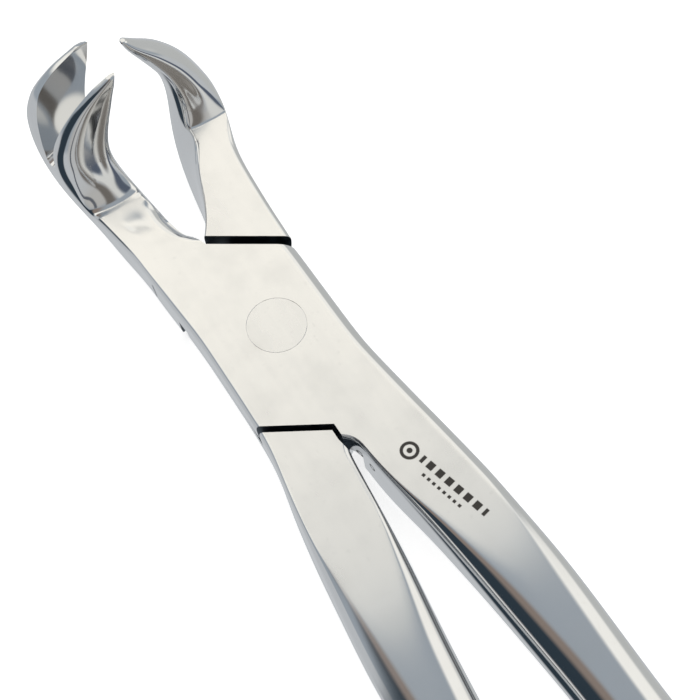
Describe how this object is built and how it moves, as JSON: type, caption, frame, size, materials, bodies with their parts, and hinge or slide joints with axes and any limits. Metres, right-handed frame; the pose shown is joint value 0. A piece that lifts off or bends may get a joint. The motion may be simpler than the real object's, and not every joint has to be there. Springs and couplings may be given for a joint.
{
  "type": "dental extraction forceps",
  "caption": "Hand forceps with a flush-pinned lap joint: a forked beak and a facing pointed beak, both bent forward from the joint face, on long smooth bowed handles.",
  "frame": {"origin": "on the pin axis, at the back face of the joint", "axes": "+Z along the pin axis toward the front face with the larger pin head, the side the beaks bend toward; +Y toward the beaks; +X toward the handle of the forked half"},
  "size_m": [0.0328, 0.1793, 0.0222],
  "materials": {
    "fork_half_steel": "polished stainless steel, satin-bright flats and mirror-polished curves",
    "single_half_steel": "polished stainless steel, satin-bright flats and mirror-polished curves",
    "pin_steel": "stainless steel, ground flush with the joint face"
  },
  "bodies": {
    "fork_half": {"fork_beak_half": "fork_half_steel", "joint_pin": "pin_steel"},
    "single_half": {"single_beak_half": "single_half_steel"}
  },
  "joints": [
    {"name": "joint_hinge", "type": "hinge", "parent": "fork_half", "child": "single_half", "pos_m": [0, 0, 0], "axis": [0, 0, -1], "range_deg": [-2, 30]}
  ]
}
